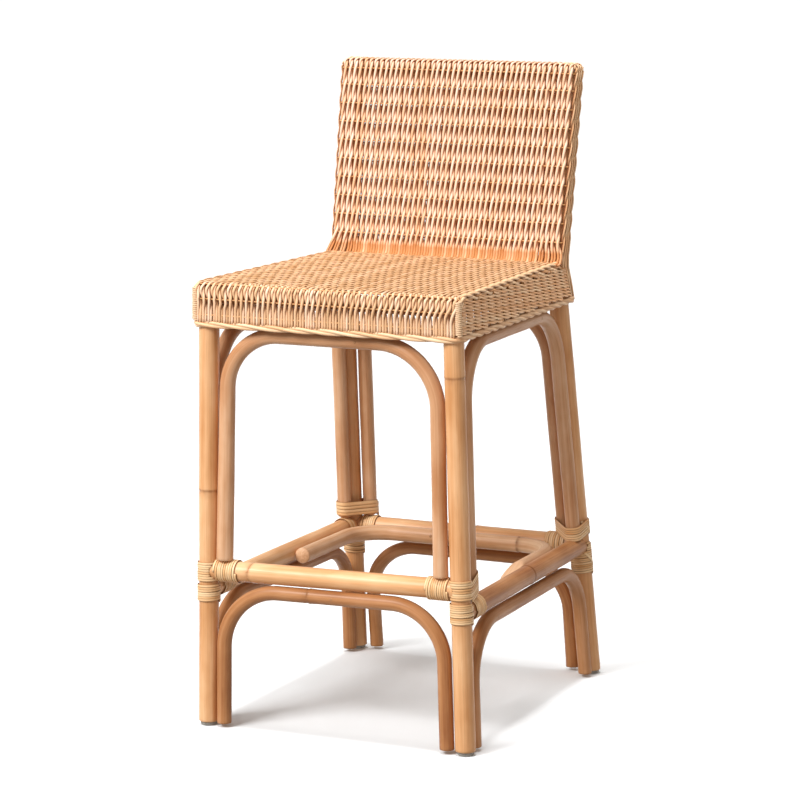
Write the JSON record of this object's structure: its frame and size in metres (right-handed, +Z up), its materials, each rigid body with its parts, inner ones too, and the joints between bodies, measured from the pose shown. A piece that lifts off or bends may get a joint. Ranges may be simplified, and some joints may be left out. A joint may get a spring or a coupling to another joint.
{
  "type": "bar stool",
  "caption": "Counter-height bar stool: raked rattan pole frame, bent hoops bracing each side, footrest stretchers, woven box seat and leaning woven back.",
  "frame": {"origin": "On the floor, under the middle of the stool's overall box.", "axes": "+Z up, the sitter faces -Y, +X is to the right when looking along +Y."},
  "size_m": [0.439, 0.5655, 0.955],
  "materials": {
    "rattan_poles": "natural rattan pole, clear satin lacquer",
    "rattan_hoops": "skinned rattan pole, clear satin lacquer",
    "woven_rattan": "round core strands woven by hand, clear satin lacquer",
    "peel_binding": "split rattan peel, wound tight, satin",
    "glide_plastic": "moulded grey plastic"
  },
  "bodies": {
    "root": {"front_leg_left": "rattan_poles", "rear_leg_left": "rattan_poles", "front_leg_right": "rattan_poles", "rear_leg_right": "rattan_poles", "glide_front_left": "glide_plastic", "glide_rear_left": "glide_plastic", "glide_front_right": "glide_plastic", "glide_rear_right": "glide_plastic", "stretcher_front": "rattan_poles", "stretcher_rear": "rattan_poles", "stretcher_left": "rattan_poles", "stretcher_right": "rattan_poles", "inner_brace": "rattan_hoops", "upper_arch_front": "rattan_hoops", "lower_arch_front": "rattan_hoops", "upper_arch_rear": "rattan_hoops", "lower_arch_rear": "rattan_hoops", "upper_arch_left": "rattan_hoops", "lower_arch_left": "rattan_hoops", "upper_arch_right": "rattan_hoops", "lower_arch_right": "rattan_hoops", "seat_rail_front": "rattan_poles", "seat_rail_rear": "rattan_poles", "seat_rail_left": "rattan_poles", "seat_rail_right": "rattan_poles", "seat_slat_1": "rattan_poles", "seat_slat_2": "rattan_poles", "seat_slat_3": "rattan_poles", "lower_rail_front": "rattan_poles", "lower_rail_rear": "rattan_poles", "lower_rail_left": "rattan_poles", "lower_rail_right": "rattan_poles", "back_top_rail": "rattan_poles", "corner_post_left": "woven_rattan", "corner_post_right": "woven_rattan", "seat_weave": "woven_rattan", "back_weave": "woven_rattan", "seat_border": "woven_rattan", "binding_front_leg_upper_left": "peel_binding", "binding_front_leg_lower_left": "peel_binding", "binding_stretcher_front_left": "peel_binding", "binding_side_stretcher_left": "peel_binding", "binding_side_stretcher_rear_left": "peel_binding", "binding_rear_group_left": "peel_binding", "binding_stretcher_rear_left": "peel_binding", "binding_rear_leg_left": "peel_binding", "binding_front_leg_upper_right": "peel_binding", "binding_front_leg_lower_right": "peel_binding", "binding_stretcher_front_right": "peel_binding", "binding_side_stretcher_right": "peel_binding", "binding_rear_group_right": "peel_binding", "binding_stretcher_rear_right": "peel_binding", "binding_rear_leg_right": "peel_binding"}
  },
  "joints": []
}
